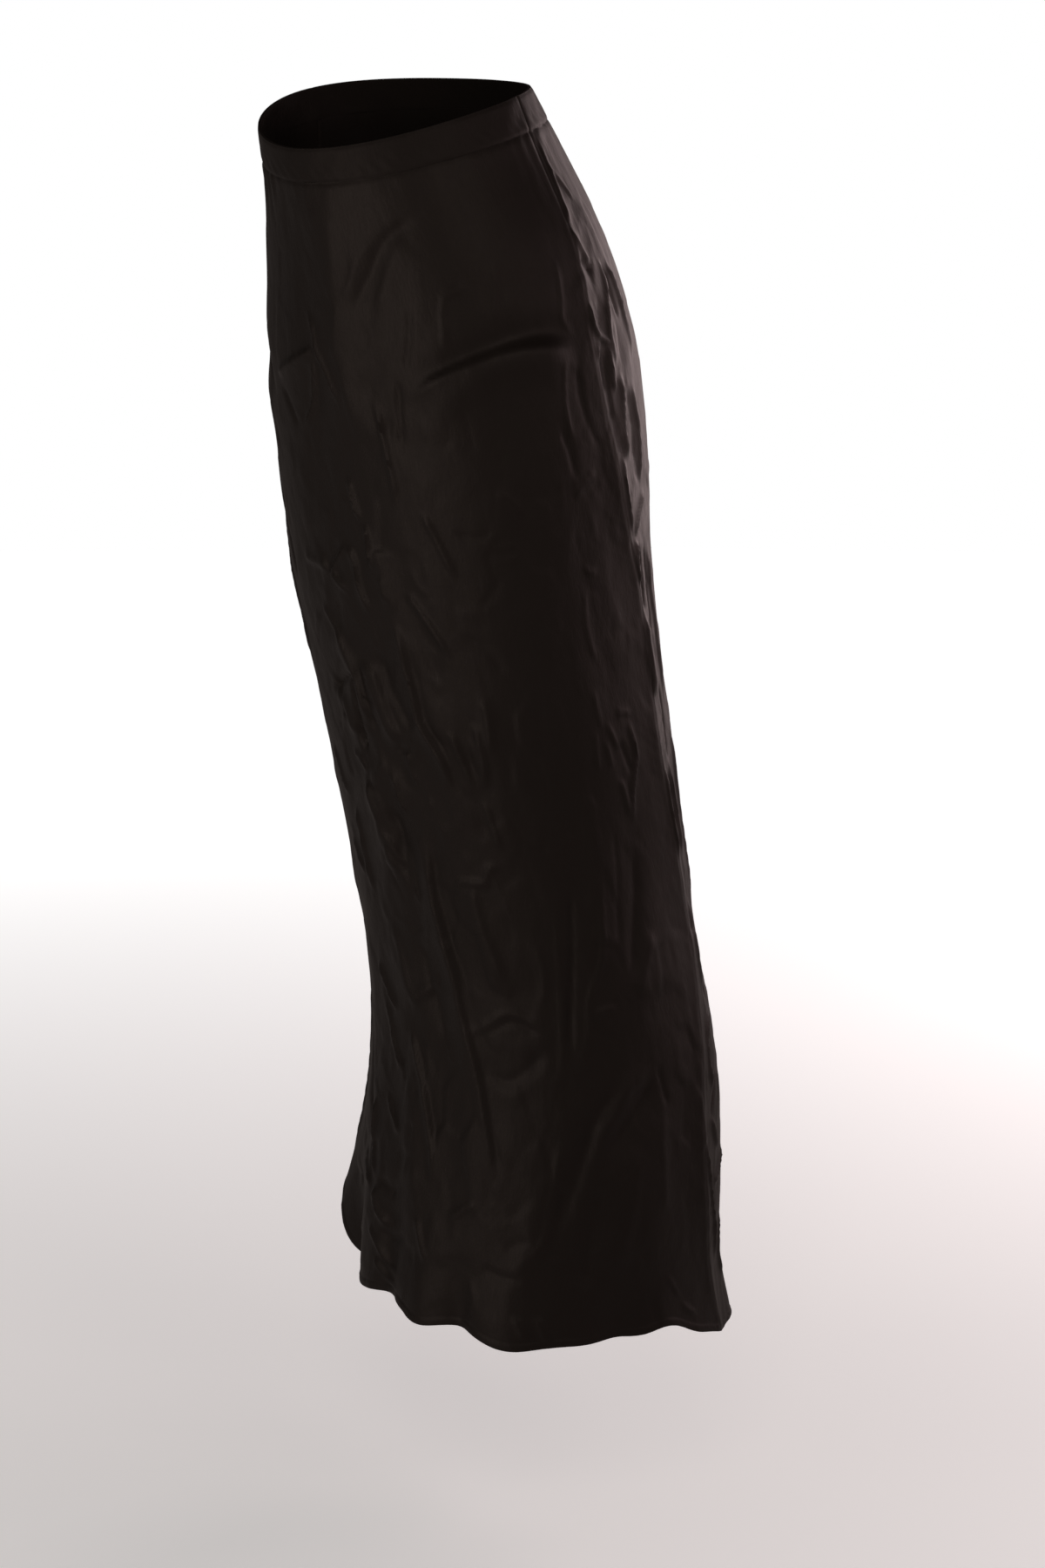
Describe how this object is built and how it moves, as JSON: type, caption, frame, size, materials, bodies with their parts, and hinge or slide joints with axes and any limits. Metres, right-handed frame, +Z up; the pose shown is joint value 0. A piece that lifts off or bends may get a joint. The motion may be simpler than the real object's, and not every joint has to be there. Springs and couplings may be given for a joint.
{
  "type": "maxi skirt",
  "caption": "Long slim bias-cut skirt in its worn hollow form, with a narrow waistband, side seams and a softly fluted hem; open at waist and hem.",
  "frame": {"origin": "middle of the waist opening, level with the mean of its top edge, where the wearer's waist holds the skirt up", "axes": "+Z up, -Y the way the wearer faces, +X the wearer's left"},
  "size_m": [0.3637, 0.3464, 1.0091],
  "materials": {
    "satin": "black satin with a soft brownish sheen and fine creases",
    "band": "the same satin folded into a flat band"
  },
  "bodies": {
    "root": {"skirt_front": "satin", "skirt_back": "satin", "waistband_front": "band", "waistband_back": "band"}
  },
  "joints": []
}
